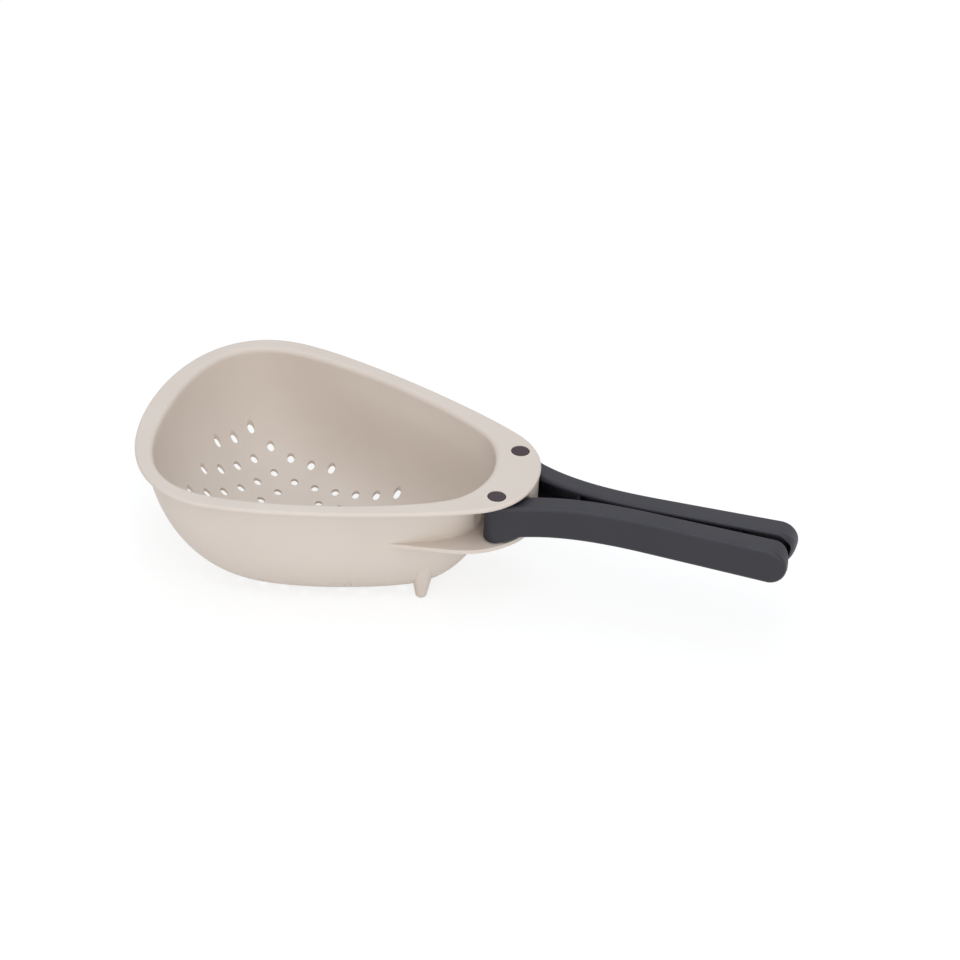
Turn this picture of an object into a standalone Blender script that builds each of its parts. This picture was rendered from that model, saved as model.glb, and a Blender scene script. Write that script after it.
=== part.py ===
"""Sink colander: an egg-shaped bowl on four feet, with two handles that swing on upright pins.

The two handles lie together as one long grip, and each folds round beside the bowl for storage.
Metres, +Z up. The feet stand on z = 0, +X runs towards the tips of the handles, and the origin
is under the middle of the overall length.
"""

import math

import bmesh
import bpy
from mathutils import Vector

# Overall sizes
rim_height = 0.0770
rim_nose = 0.0172
rim_back = 0.2160
rim_half_width = 0.0895
rim_widest_back = 0.1550
handle_reach = 0.1672
pin_spacing = 0.0488

# Bowl wall, lip and mouth
wall = 0.0014
wall_thinning_depth = 0.0260
lip_thickness = 0.0030
mouth_fillet = 0.0032
mouth_nose_back = 0.0098
mouth_back = 0.2038
mouth_half_width = 0.0784
side_nose_back = 0.0058
side_back = 0.2080
side_half_width = 0.0838
cavity_depth = 0.0738

# Egg outlines: how far back and how wide the shoulder is, and the angle of the outline there
rim_shoulder_back = 0.0056
rim_shoulder_half_width = 0.0413
rim_shoulder_angle = math.radians(150)
mouth_shoulder_back = 0.0259
mouth_shoulder_half_width = 0.0360
mouth_shoulder_angle = math.radians(144)
side_shoulder_back = 0.0240
side_shoulder_half_width = 0.0385
# Lengths of the curve handles as shares of the sizes that each stretch spans
rim_curve_shares = (0.55, 0.286, 0.25, 0.23, 0.655, 0.56)
mouth_curve_shares = (0.39, 0.35, 0.27, 0.268, 0.70, 0.645)
outline_steps = (9, 12, 12)
lip_edge_steps = 4

# Profile of the bowl: the outline shrinks towards a centre as it goes down
bowl_centre_back = 0.0914
bowl_centre_shift = 0.0038
floor_share = 0.466
wall_draft_share = 0.039
wall_straight_share = 0.53
floor_curve_share = 0.57
flank_tuck_share = 0.045
flank_tuck_drops = (0.0220, 0.0260, 0.0660)
flank_tuck_backs = (0.1700, 0.0600)
profile_steps = 9

# Drain holes
hole_diameter = 0.0045
hole_pitch = 0.01274
hole_row_pitch = 0.01185
hole_first_back = 0.1742
hole_margin = 0.0166
hole_field_front_back = 0.0460
hole_rows = 5
hole_columns = 12
hole_sides = 8
# The back feet stand where two holes would be, this many rows out and columns along
back_foot_row = 3
back_foot_column = 3

# Feet
back_foot_diameter = 0.0090
front_foot_root_diameter = 0.0170
front_foot_tip_diameter = 0.0068
front_foot_back = 0.0404
front_foot_half_spacing = 0.0280
front_foot_height = 0.0280
foot_round = 0.0022
foot_sides = 16

# Hinge shelf below the lip, and the web that joins the two
hub_height = 0.0244
shelf_thickness = 0.0025
shelf_turn_ahead = 0.0094
shelf_turn_half_width = 0.0239
shelf_turn_angle = math.radians(127)
shelf_end_back = 0.0660
shelf_end_half_width = 0.0531
shelf_end_angle = math.radians(165)
shelf_nose_shares = (0.46, 0.377)
shelf_curve_shares = (0.345, 0.584)
shelf_nose_steps = 5
shelf_curve_steps = 11
shelf_embed = 0.0200
shelf_fillet = 0.0030
shelf_sink = 0.0004
web_wall = 0.0022
web_inset = 0.0007
web_half_width = 0.0091
web_back = 0.0170
web_nose_steps = 3
web_slope = math.tan(math.radians(4))
web_mouth_back = 0.0040
web_margin = 0.0010

# Pivot pins, washers and retaining rings
pin_diameter = 0.0060
pin_head_diameter = 0.0104
pin_head_thickness = 0.0017
pin_tail = 0.0016
pin_chamfer = 0.0004
washer_thickness = 0.0008
washer_diameter = 0.0120
retainer_thickness = 0.0010
retainer_diameter = 0.0110
gap = 0.0003
bore_clearance = 0.0002

# Handles
hub_diameter = 0.0128
hub_round = 0.0022
hub_sides = 28
hub_blend_start = 0.0055
hub_blend_end = 0.0145
arm_root_share = 0.94
arm_root_angle = math.radians(21)
arm_curve_shares = (0.19, 0.65)
arm_line_steps = 24
arm_top_drop = 0.0050
arm_root_height = 0.0206
arm_tip_height = 0.0218
arm_tip_thickness = 0.0146
arm_round = 0.0026
arm_inner_round = 0.0012
arm_station_spacing = 0.0085
tip_steps = 6
grip_start = 0.0850
grip_offset = 0.0077
grip_spread = 0.0025
handle_wall = 0.0024
channel_start = 0.0120
rib_thickness = 0.0016
rib_recess = 0.0040
bay_count = 5
bay_step = 0.0003

# Round edges and cutters
edge_steps = 3
round_sides = 24
overrun = 0.0010
merge_distance = 0.000005
smooth_angle = math.radians(35)


def bezier(start, leave, arrive, end, steps):
    """Points along a cubic curve, without its last point."""
    points = []
    for step in range(steps):
        t = step / steps
        a, b, c, d = (1 - t) ** 3, 3 * t * (1 - t) ** 2, 3 * t * t * (1 - t), t ** 3
        points.append(start * a + leave * b + arrive * c + end * d)
    return points


def heading(angle):
    return Vector((math.cos(angle), math.sin(angle)))


def quarter(steps):
    """Angles from nought to a right angle."""
    return [math.pi / 2 * step / steps for step in range(steps + 1)]


def egg_outline(nose, shoulder, angle, widest, back, shares):
    """Closed outline round the pin line, anticlockwise from the nose, in three curves a side."""
    nose_share, before_share, after_share, side_share, corner_share, end_share = shares
    along = heading(angle)
    ahead = Vector((1, 0))
    across = Vector((0, 1))
    flank = shoulder.x - widest.x
    corner = widest.x + back
    tip = Vector((nose, 0))
    tail = Vector((-back, 0))
    half = bezier(tip, tip + across * shoulder.y * nose_share,
                  shoulder - along * shoulder.y * before_share, shoulder, outline_steps[0])
    half += bezier(shoulder, shoulder + along * flank * after_share,
                   widest + ahead * flank * side_share, widest, outline_steps[1])
    half += bezier(widest, widest - ahead * corner * corner_share,
                   tail + across * widest.y * end_share, tail, outline_steps[2])
    mirrored = [Vector((point.x, -point.y)) for point in half[:0:-1]]
    return half + [tail] + mirrored


def offset_loop(loop, distance):
    """A closed anticlockwise outline moved outwards by a distance."""
    moved = []
    for index, point in enumerate(loop):
        run = loop[(index + 1) % len(loop)] - loop[index - 1]
        moved.append(point + Vector((run.y, -run.x)).normalized() * distance)
    return moved


def rim_outline():
    shoulder = Vector((-rim_shoulder_back, rim_shoulder_half_width))
    widest = Vector((-rim_widest_back, rim_half_width))
    return egg_outline(rim_nose, shoulder, rim_shoulder_angle, widest, rim_back, rim_curve_shares)


def mouth_outline():
    """Inner face of the wall at its top."""
    shoulder = Vector((-mouth_shoulder_back, mouth_shoulder_half_width))
    widest = Vector((-rim_widest_back, mouth_half_width))
    return egg_outline(-mouth_nose_back, shoulder, mouth_shoulder_angle, widest, mouth_back,
                       mouth_curve_shares)


def side_outline():
    """Outer face of the wall at its top, under the lip."""
    shoulder = Vector((-side_shoulder_back, side_shoulder_half_width))
    widest = Vector((-rim_widest_back, side_half_width))
    return egg_outline(-side_nose_back, shoulder, mouth_shoulder_angle, widest, side_back,
                       mouth_curve_shares)


def wall_profile(start, depth):
    """Pairs of outline share and drop below the rim, from the top of the wall to the floor."""
    top = Vector((1, start))
    leave = Vector((1 - wall_draft_share, start + (depth - start) * wall_straight_share))
    arrive = Vector((floor_share + (1 - floor_share) * floor_curve_share, depth))
    floor = Vector((floor_share, depth))
    return bezier(top, leave, arrive, floor, profile_steps) + [floor]


def smooth_step(value, low, high):
    share = min(1, max(0, (value - low) / (high - low)))
    return share * share * (3 - 2 * share)


def flank_width(back, drop):
    """Share of its width that a level of the bowl keeps: the flanks are tucked in below the lip."""
    full, fading, gone = flank_tuck_drops
    depth_share = smooth_step(drop, 0, full) * (1 - smooth_step(drop, fading, gone))
    return 1 - flank_tuck_share * depth_share * smooth_step(back, *flank_tuck_backs)


def bowl_ring(outline, share, drop, depth):
    """One level of the bowl: the outline drawn in towards the bowl's centre."""
    centre = bowl_centre_shift * drop / depth - bowl_centre_back
    return [Vector((centre + share * (point.x + bowl_centre_back),
                    share * point.y * flank_width(-point.x, drop), -drop)) for point in outline]


def flat_ring(outline, drop):
    return [Vector((point.x, point.y, -drop)) for point in outline]


def place(points):
    """From the pins' own frame, whose zero is on the rim, to the part's frame."""
    return [point + Vector((pivot_x, 0, rim_height)) for point in points]


def loft(name, rings, material=None):
    """A closed solid through rings of equal count, given from its lower end to its upper one."""
    mesh = bmesh.new()
    rows = [[mesh.verts.new(point) for point in ring] for ring in rings]
    count = len(rings[0])
    for low, high in zip(rows, rows[1:]):
        for index in range(count):
            following = (index + 1) % count
            mesh.faces.new((low[index], low[following], high[following], high[index]))
    mesh.faces.new(rows[0][::-1])
    mesh.faces.new(rows[-1])
    return add_object(name, mesh, material)


def add_object(name, mesh, material):
    data = bpy.data.meshes.new(name)
    mesh.to_mesh(data)
    mesh.free()
    data.shade_smooth()
    data.set_sharp_from_angle(angle=smooth_angle)
    if material:
        data.materials.append(material)
    made = bpy.data.objects.new(name, data)
    bpy.context.scene.collection.objects.link(made)
    return made


def turned(name, profile, centre, sides, material=None):
    """A solid of revolution round an upright axis; the profile runs up its outer side."""
    rings = []
    for radius, height in profile:
        rings.append([centre + Vector((radius * math.cos(turn), radius * math.sin(turn), height))
                      for turn in turns(sides)])
    return loft(name, rings, material)


def turns(sides):
    return [2 * math.pi * index / sides for index in range(sides)]


def combine(target, tool, operation):
    """Adds a tool to a solid, or cuts it away, and leaves one plain mesh."""
    modifier = target.modifiers.new(tool.name, "BOOLEAN")
    modifier.operation = operation
    modifier.solver = "EXACT"
    modifier.object = tool
    depsgraph = bpy.context.evaluated_depsgraph_get()
    result = bpy.data.meshes.new_from_object(target.evaluated_get(depsgraph))
    mesh = bmesh.new()
    mesh.from_mesh(result)
    bmesh.ops.remove_doubles(mesh, verts=mesh.verts, dist=merge_distance)
    bmesh.ops.dissolve_degenerate(mesh, edges=mesh.edges, dist=merge_distance)
    mesh.to_mesh(result)
    mesh.free()
    target.modifiers.clear()
    target.data = result
    bpy.data.objects.remove(tool)


def finish(target, location=None):
    """Sets the shading, and the origin of a piece that turns."""
    if location is not None:
        for vertex in target.data.vertices:
            vertex.co -= location
        target.location = location
    target.data.shade_smooth()
    target.data.set_sharp_from_angle(angle=smooth_angle)


def add_material(name, colour, roughness, metallic=0.0):
    material = bpy.data.materials.new(name)
    material.use_nodes = True
    shader = material.node_tree.nodes["Principled BSDF"]
    shader.inputs["Base Color"].default_value = (*colour, 1.0)
    shader.inputs["Roughness"].default_value = roughness
    shader.inputs["Metallic"].default_value = metallic
    material.diffuse_color = (*colour, 1.0)
    return material


# Places worked out from the sizes
pivot_x = (rim_back - handle_reach) / 2
pin_y = pin_spacing / 2
outer_depth = cavity_depth + wall
washer_top = lip_thickness + gap
hub_top = washer_top + washer_thickness + gap
hub_bottom = hub_top + hub_height
shelf_top = hub_bottom + gap
shelf_bottom = shelf_top + shelf_thickness
lip_edge_round = lip_thickness / 2


def wall_rings():
    """Levels of the wall's outer face, from the floor up to the lip."""
    profile = wall_profile(lip_thickness, outer_depth)[::-1]
    return [bowl_ring(side_outline(), share, drop, outer_depth) for share, drop in profile]


def bowl_body():
    """The moulded outer form, still filled in, from the floor up to the flat top of the lip."""
    rings = wall_rings()
    rim = rim_outline()
    for half_turn in quarter(lip_edge_steps):
        turn = 2 * half_turn - math.pi / 2
        edge = offset_loop(rim, lip_edge_round * (math.cos(turn) - 1))
        rings.append(flat_ring(edge, lip_edge_round * (1 - math.sin(turn))))
    return loft("bowl", [place(ring) for ring in rings], bowl_plastic)


def cavity():
    """The space inside the bowl, with the rounded edge of the mouth."""
    outline = mouth_outline()
    thin = offset_loop(side_outline(), -wall)
    rings = []
    for share, drop in wall_profile(mouth_fillet, cavity_depth)[::-1]:
        thinning = smooth_step(drop, mouth_fillet, wall_thinning_depth)
        level = [point.lerp(far, thinning) for point, far in zip(outline, thin)]
        rings.append(bowl_ring(level, share, drop, cavity_depth))
    for turn in quarter(edge_steps)[1:]:
        edge = offset_loop(outline, mouth_fillet * (1 - math.cos(turn)))
        rings.append(flat_ring(edge, mouth_fillet * (1 - math.sin(turn))))
    rings.append(flat_ring(offset_loop(outline, mouth_fillet), -overrun))
    return loft("cavity", [place(ring) for ring in rings])


def shelf():
    """Flat shelf under the hubs: a blunt nose just behind the rim's, dying away along each flank."""
    nose = Vector((rim_nose - web_inset, 0))
    turn = Vector((shelf_turn_ahead, shelf_turn_half_width))
    end = Vector((-shelf_end_back, shelf_end_half_width))
    span = shelf_end_back + shelf_turn_ahead
    along = heading(shelf_turn_angle)
    front = bezier(nose, nose + Vector((0, turn.y * shelf_nose_shares[0])),
                   turn - along * turn.y * shelf_nose_shares[1], turn, shelf_nose_steps)
    arrive = end - heading(shelf_end_angle) * span * shelf_curve_shares[1]
    front += bezier(turn, turn + along * span * shelf_curve_shares[0], arrive, end, shelf_curve_steps)
    front.append(end)
    front.append(Vector((-shelf_end_back - shelf_embed, 0)))
    outline = front + [Vector((point.x, -point.y)) for point in front[-2:0:-1]]
    flat = loft("shelf", [place(flat_ring(outline, shelf_bottom)), place(flat_ring(outline, shelf_top))])
    fillet = shelf_root()
    height = shelf_top - shelf_fillet - overrun
    prism = loft("shelf_prism", [place(flat_ring(outline, shelf_bottom)), place(flat_ring(outline, height))])
    combine(fillet, prism, "INTERSECT")
    combine(flat, fillet, "UNION")
    return flat


def shelf_root():
    """Round inner corner all round the wall where a shelf would meet it, filled in."""
    profile = wall_profile(lip_thickness, outer_depth)
    outline = side_outline()
    rings = []
    for turn in quarter(edge_steps):
        drop = shelf_top - shelf_fillet * (1 - math.cos(turn))
        spread = shelf_fillet * (1 - math.sin(turn)) - shelf_sink
        level = bowl_ring(outline, share_at(profile, drop), drop, outer_depth)
        rings.append([Vector((*point, -drop)) for point in
                      offset_loop([Vector((point.x, point.y)) for point in level], spread)])
    lowest = [Vector((point.x, point.y, -(shelf_top + shelf_bottom) / 2)) for point in rings[0]]
    return loft("shelf_root", [place(ring) for ring in [lowest] + rings])


def share_at(profile, drop):
    """Outline share of the wall at a drop below the rim."""
    for (share, high), (next_share, low) in zip(profile, profile[1:]):
        if high <= drop <= low:
            return share + (next_share - share) * (drop - high) / (low - high)
    return profile[-1][0]


def rim_front(across):
    """How far ahead of the pins the nose of the rim is, at a distance off its middle line."""
    loop = rim_outline()
    for start, end in zip(loop, loop[1:]):
        if start.y <= abs(across) < end.y:
            return start.x + (end.x - start.x) * (abs(across) - start.y) / (end.y - start.y)
    return rim_nose


def web():
    """Nose wall and two side walls between the lip and the shelf, which the handles close on."""
    steps = [web_half_width * step / web_nose_steps for step in range(-web_nose_steps, web_nose_steps + 1)]
    nose = [Vector((rim_front(across) - web_inset, across)) for across in steps]
    side = nose[-1]
    corner = Vector((-web_back, side.y + (side.x + web_back) * web_slope))
    outline = [Vector((-web_back, -corner.y))] + nose + [corner]
    outline += web_inner(0)[::-1]
    top = lip_thickness / 2
    bottom = (shelf_top + shelf_bottom) / 2
    return loft("web", [place(flat_ring(outline, bottom)), place(flat_ring(outline, top))])


def web_inner(margin):
    """Inner outline of the web, from one flank round its nose to the other, drawn in by a margin."""
    half = web_half_width - web_wall - margin
    front = rim_front(web_half_width) - web_inset - web_wall - margin
    back = -web_back
    spread = half + (front - back) * web_slope
    return [Vector((back, -spread)), Vector((front, -half)), Vector((front, half)), Vector((back, spread))]


def web_mouth():
    """Opening in the shelf below the hollow of the web, ahead of the bowl's wall."""
    back = web_mouth_back
    nose = web_inner(web_margin)[1:3]
    spread = nose[1].y + (nose[1].x + back) * web_slope
    outline = [Vector((-back, -spread))] + nose + [Vector((-back, spread))]
    return loft("web_mouth", [place(flat_ring(outline, shelf_bottom + overrun)),
                              place(flat_ring(outline, shelf_top - overrun))])


def hole_places():
    """Rows along the bowl, every other one shifted by half a pitch, inside the field's edge."""
    edge = offset_loop(side_outline(), -hole_margin)
    places = []
    for row in range(-hole_rows, hole_rows + 1):
        shift = 0 if row % 2 else -hole_pitch / 2
        for column in range(-1, hole_columns):
            spot = Vector((shift - hole_first_back + column * hole_pitch, row * hole_row_pitch))
            if spot.x < -hole_field_front_back and inside(edge, spot) and not over_foot(spot):
                places.append(spot)
    return places


def inside(loop, spot):
    """Whether a spot lies inside a closed outline."""
    crossings = 0
    for start, end in zip(loop, loop[1:] + loop[:1]):
        if (start.y > spot.y) != (end.y > spot.y):
            crossing = start.x + (spot.y - start.y) * (end.x - start.x) / (end.y - start.y)
            crossings += crossing > spot.x
    return crossings % 2 == 1


def back_foot_places():
    back = hole_first_back - back_foot_column * hole_pitch
    return [Vector((-back, side * back_foot_row * hole_row_pitch)) for side in (-1, 1)]


def over_foot(spot):
    return any((spot - foot).length < hole_pitch / 2 for foot in back_foot_places())


def drills():
    """All drain holes as one set of upright cutters."""
    mesh = bmesh.new()
    for spot in hole_places():
        low, high = [], []
        for turn in turns(hole_sides):
            point = spot + heading(turn) * hole_diameter / 2
            low.append(Vector((point.x, point.y, -outer_depth - overrun)))
            high.append(Vector((point.x, point.y, overrun)))
        low = [mesh.verts.new(point) for point in place(low)]
        high = [mesh.verts.new(point) for point in place(high)]
        for index in range(hole_sides):
            following = (index + 1) % hole_sides
            mesh.faces.new((low[index], low[following], high[following], high[index]))
        mesh.faces.new(low[::-1])
        mesh.faces.new(high)
    return add_object("drills", mesh, None)


def foot_profile(root_radius, tip_radius, height):
    """A tapered peg from its rounded tip on the ground up to its root."""
    profile = []
    for turn in quarter(edge_steps):
        profile.append((tip_radius - foot_round * (1 - math.sin(turn)), foot_round * (1 - math.cos(turn))))
    profile.append((root_radius, height))
    return profile


def feet():
    """Two long pegs under the nose and two short feet under the wide end."""
    made = []
    spots = [Vector((-front_foot_back, side * front_foot_half_spacing)) for side in (-1, 1)]
    radii = (front_foot_root_diameter / 2, front_foot_tip_diameter / 2)
    for spot in spots:
        profile = foot_profile(*radii, front_foot_height)
        made.append(turned("front_foot", profile, Vector((spot.x + pivot_x, spot.y, 0)), foot_sides))
    radius = back_foot_diameter / 2
    for spot in back_foot_places():
        profile = foot_profile(radius, radius, rim_height - outer_depth + wall / 2)
        made.append(turned("back_foot", profile, Vector((spot.x + pivot_x, spot.y, 0)), foot_sides))
    return made


def pin_holes(side):
    """Bore through lip and shelf for one pin, with the recess for its head."""
    shank = pin_diameter / 2 + bore_clearance
    head = pin_head_diameter / 2 + bore_clearance
    recess = pin_head_thickness + gap
    profile = [(shank, -shelf_bottom - overrun), (shank, -recess), (head, -recess), (head, overrun)]
    centre = Vector((pivot_x, side * pin_y, rim_height))
    return turned("pin_hole", profile, centre, round_sides)


def make_bowl():
    bowl = bowl_body()
    for added in (shelf(), web(), *feet()):
        combine(bowl, added, "UNION")
    for cut in (web_mouth(), cavity(), drills(), pin_holes(-1), pin_holes(1)):
        combine(bowl, cut, "DIFFERENCE")
    finish(bowl)


def make_pins(side, hand):
    """Headed pin, friction washer and push-on ring of one pivot."""
    centre = Vector((pivot_x, side * pin_y, rim_height))
    shank = pin_diameter / 2
    head = pin_head_diameter / 2
    tail = shelf_bottom + gap + retainer_thickness + pin_tail
    profile = [(shank - pin_chamfer, -tail), (shank, pin_chamfer - tail), (shank, -pin_head_thickness),
               (head, -pin_head_thickness), (head, -pin_chamfer), (head - pin_chamfer, 0)]
    turned("pivot_pin_" + hand, profile, centre, round_sides, pin_plastic)
    ring("friction_washer_" + hand, centre, washer_diameter, washer_top + washer_thickness, washer_thickness,
         washer_plastic)
    ring("retaining_ring_" + hand, centre, retainer_diameter, shelf_bottom + gap + retainer_thickness,
         retainer_thickness, spring_steel)


def ring(name, centre, diameter, drop, thickness, material):
    """A flat ring round the pin, whose lower face is a given drop below the rim."""
    profile = [(diameter / 2, -drop), (diameter / 2, thickness - drop)]
    made = turned(name, profile, centre, round_sides, material)
    bore = pin_diameter / 2 + gap
    hole = [(bore, -drop - overrun), (bore, thickness - drop + overrun)]
    combine(made, turned("ring_bore", hole, centre, round_sides), "DIFFERENCE")
    finish(made)


def arm_line():
    """Middle line of an arm in plan, from its pin to its tip, for the arm on the +Y side."""
    root = Vector((0, pin_y))
    grip = Vector((grip_start, grip_offset))
    tip = Vector((handle_reach, grip_offset + grip_spread))
    run = (tip - grip).normalized()
    leave = root + heading(-arm_root_angle) * grip_start * arm_curve_shares[0]
    arrive = grip - run * grip_start * arm_curve_shares[1]
    return bezier(root, leave, arrive, grip, arm_line_steps) + [grip, tip]


def running_lengths(line):
    """Distance along a line of each of its points."""
    lengths = [0]
    for start, end in zip(line, line[1:]):
        lengths.append(lengths[-1] + (end - start).length)
    return lengths


def side_of(line, index):
    """Direction square to a line at one of its points, to its left."""
    run = line[min(index + 1, len(line) - 1)] - line[max(index - 1, 0)]
    return Vector((-run.y, run.x)).normalized()


def arm_point(distance, outwards, drop):
    """A point of the arm: along its middle line, outwards from it, and below the rim."""
    index = 0
    while index < len(arm_middle) - 2 and distance > arm_marks[index + 1]:
        index += 1
    share = (distance - arm_marks[index]) / (arm_marks[index + 1] - arm_marks[index])
    spot = arm_middle[index].lerp(arm_middle[index + 1], share)
    out = side_of(arm_middle, index).lerp(side_of(arm_middle, index + 1), share).normalized()
    return Vector((*(spot + out * outwards), -drop))


def arm_half_thickness(distance):
    root = hub_diameter / 2 * arm_root_share
    widened = smooth_step(distance, 0, hub_blend_end) * (hub_diameter / 2 - root)
    return root + widened + (arm_tip_thickness - hub_diameter) / 2 * (distance / arm_length) ** 2


def arm_top(distance):
    return hub_top + (arm_top_drop - hub_top) * smooth_step(distance, hub_blend_start, hub_blend_end)


def arm_bottom(distance):
    height = arm_root_height + (arm_tip_height - arm_root_height) * distance / arm_length
    drop = arm_top_drop + height
    return hub_bottom + (drop - hub_bottom) * smooth_step(distance, hub_blend_start, hub_blend_end)


def arm_loop(face, depth, inset, start, end=None):
    """Top and bottom points round the arm's side view, at a depth in from its outer or inner face.

    The loop is drawn in by an inset. Without an end it runs on round the tip.
    """
    radius = arm_tip_height / 2 - inset
    last = arm_length - arm_tip_height / 2 if end is None else end
    middle = arm_top_drop + arm_tip_height / 2
    steps = max(2, round((last - start) / arm_station_spacing))
    upper, lower = [], []
    for step in range(steps + 1):
        mark = start + (last - start) * step / steps
        out = face * (arm_half_thickness(mark) - depth)
        upper.append(arm_point(mark, out, arm_top(mark) + inset))
        lower.append(arm_point(mark, out, arm_bottom(mark) - inset))
    if end is not None:
        return upper, lower
    for turn in quarter(tip_steps)[1:]:
        mark = last + radius * math.sin(turn)
        out = face * (arm_half_thickness(mark) - depth)
        upper.append(arm_point(mark, out, middle - radius * math.cos(turn)))
        lower.append(arm_point(mark, out, middle + radius * math.cos(turn)))
    return upper, lower[:-1]


def add_bar(mesh, loops):
    """Adds a closed bar whose loops, of top and bottom points, run across its thickness."""
    rows = [([mesh.verts.new(point) for point in upper], [mesh.verts.new(point) for point in lower])
            for upper, lower in loops]
    rings = [upper + lower[::-1] for upper, lower in rows]
    for first, second in zip(rings, rings[1:]):
        for index in range(len(first)):
            following = (index + 1) % len(first)
            mesh.faces.new((first[index], first[following], second[following], second[index]))
    for upper, lower in (rows[0], rows[-1]):
        for index in range(len(upper) - 1):
            corners = [upper[index], upper[index + 1], *lower[index:index + 2][::-1]]
            mesh.faces.new(corners)


def make_bars(name, bars, side, material=None):
    """One object of closed bars, mirrored to the side of the part that it is for."""
    mesh = bmesh.new()
    for loops in bars:
        add_bar(mesh, [[place_arm(points, side) for points in loop] for loop in loops])
    bmesh.ops.recalc_face_normals(mesh, faces=mesh.faces)
    return add_object(name, mesh, material)


def place_arm(points, side):
    return place([Vector((point.x, side * point.y, point.z)) for point in points])


def arm_bar():
    """The arm as a solid, with a round edge all along its outer side and a finer one inside."""
    outer = [arm_loop(1, arm_round * (1 - math.cos(turn)), arm_round * (1 - math.sin(turn)), 0)
             for turn in quarter(edge_steps)]
    inner = [arm_loop(-1, arm_inner_round * (1 - math.cos(turn)), arm_inner_round * (1 - math.sin(turn)), 0)
             for turn in quarter(edge_steps)]
    return outer + inner[::-1]


def channel_bars():
    """The long recess in an arm's inner side, and the deeper bays that leave the ribs standing."""
    shallow = [arm_loop(-1, rib_recess, handle_wall, channel_start),
               arm_loop(-1, -overrun, handle_wall, channel_start)]
    inset = handle_wall + bay_step
    pitch = (arm_length - channel_start) / bay_count
    deep = []
    for bay in range(bay_count):
        start = channel_start + bay_step + bay * pitch
        end = start + pitch - rib_thickness if bay < bay_count - 1 else None
        deep.append([arm_loop(1, handle_wall, inset, start, end),
                     arm_loop(-1, rib_recess - bay_step, inset, start, end)])
    return [shallow], deep


def make_handle(side, hand):
    """A handle: round hub, arm with a full-round tip, and an inner side cored out between ribs."""
    handle = make_bars("handle_" + hand, [arm_bar()], side, handle_plastic)
    centre = Vector((pivot_x, side * pin_y, rim_height))
    radius = hub_diameter / 2
    profile = [(radius - hub_round * (1 - math.sin(turn)), hub_round * (1 - math.cos(turn)) - hub_bottom)
               for turn in quarter(edge_steps)]
    profile.append((radius, -hub_top))
    combine(handle, turned("hub", profile, centre, hub_sides), "UNION")
    shallow, deep = channel_bars()
    combine(handle, make_bars("channel", shallow, side), "DIFFERENCE")
    combine(handle, make_bars("bays", deep, side), "DIFFERENCE")
    bore = pin_diameter / 2 + bore_clearance
    hole = [(bore, -hub_bottom - overrun), (bore, overrun - hub_top)]
    combine(handle, turned("hub_bore", hole, centre, round_sides), "DIFFERENCE")
    finish(handle, Vector((pivot_x, side * pin_y, 0)))


for existing in list(bpy.data.objects):
    bpy.data.objects.remove(existing)

bowl_plastic = add_material("sand_plastic", (0.62, 0.54, 0.46), 0.55)
pin_plastic = add_material("dark_pin_plastic", (0.075, 0.068, 0.075), 0.5)
washer_plastic = add_material("white_nylon", (0.8, 0.8, 0.78), 0.45)
spring_steel = add_material("spring_steel", (0.55, 0.55, 0.56), 0.3, 1.0)
handle_plastic = add_material("charcoal_plastic", (0.058, 0.056, 0.064), 0.55)

arm_middle = arm_line()
arm_marks = running_lengths(arm_middle)
arm_length = arm_marks[-1]

make_bowl()
for hand, side in (("left", -1), ("right", 1)):
    make_pins(side, hand)
    make_handle(side, hand)
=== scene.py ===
"""Looks of the sink colander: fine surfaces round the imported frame, plastics and studio light.

Metres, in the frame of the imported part: +Z up, feet on z = 0, +X towards the tips of the handles.
"""

import math

import bmesh
import bpy
from mathutils import Matrix, Vector


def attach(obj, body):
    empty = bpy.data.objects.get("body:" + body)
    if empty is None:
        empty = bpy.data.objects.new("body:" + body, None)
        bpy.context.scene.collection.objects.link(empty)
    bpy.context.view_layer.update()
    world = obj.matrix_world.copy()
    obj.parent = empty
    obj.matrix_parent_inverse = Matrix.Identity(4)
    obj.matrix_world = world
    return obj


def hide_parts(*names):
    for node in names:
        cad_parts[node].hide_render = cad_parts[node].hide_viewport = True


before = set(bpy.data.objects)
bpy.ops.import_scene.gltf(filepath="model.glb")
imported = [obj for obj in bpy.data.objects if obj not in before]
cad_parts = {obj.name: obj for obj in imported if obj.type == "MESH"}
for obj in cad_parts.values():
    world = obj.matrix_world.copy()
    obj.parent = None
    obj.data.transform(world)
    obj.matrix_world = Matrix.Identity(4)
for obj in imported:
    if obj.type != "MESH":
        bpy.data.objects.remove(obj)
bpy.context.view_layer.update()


# Overall sizes
rim_height = 0.0770
rim_nose = 0.0172
rim_back = 0.2160
rim_half_width = 0.0895
rim_widest_back = 0.1550
handle_reach = 0.1672
pin_spacing = 0.0488

# Bowl wall, lip and mouth
wall = 0.0014
# The wall thins evenly from the mouth down: half of it over each of these drops
wall_thinning_reaches = (0.0410, 0.0530)
lip_thickness = 0.0030
mouth_fillet = 0.0032
mouth_nose_back = 0.0098
mouth_back = 0.2038
mouth_half_width = 0.0784
side_nose_back = 0.0058
side_back = 0.2080
side_half_width = 0.0838
cavity_depth = 0.0738

# Egg outlines: how far back and how wide the shoulder is, and the angle of the outline there
rim_shoulder_back = 0.0056
rim_shoulder_half_width = 0.0413
rim_shoulder_angle = math.radians(150)
mouth_shoulder_back = 0.0259
mouth_shoulder_half_width = 0.0360
mouth_shoulder_angle = math.radians(144)
side_shoulder_back = 0.0240
side_shoulder_half_width = 0.0385
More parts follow.
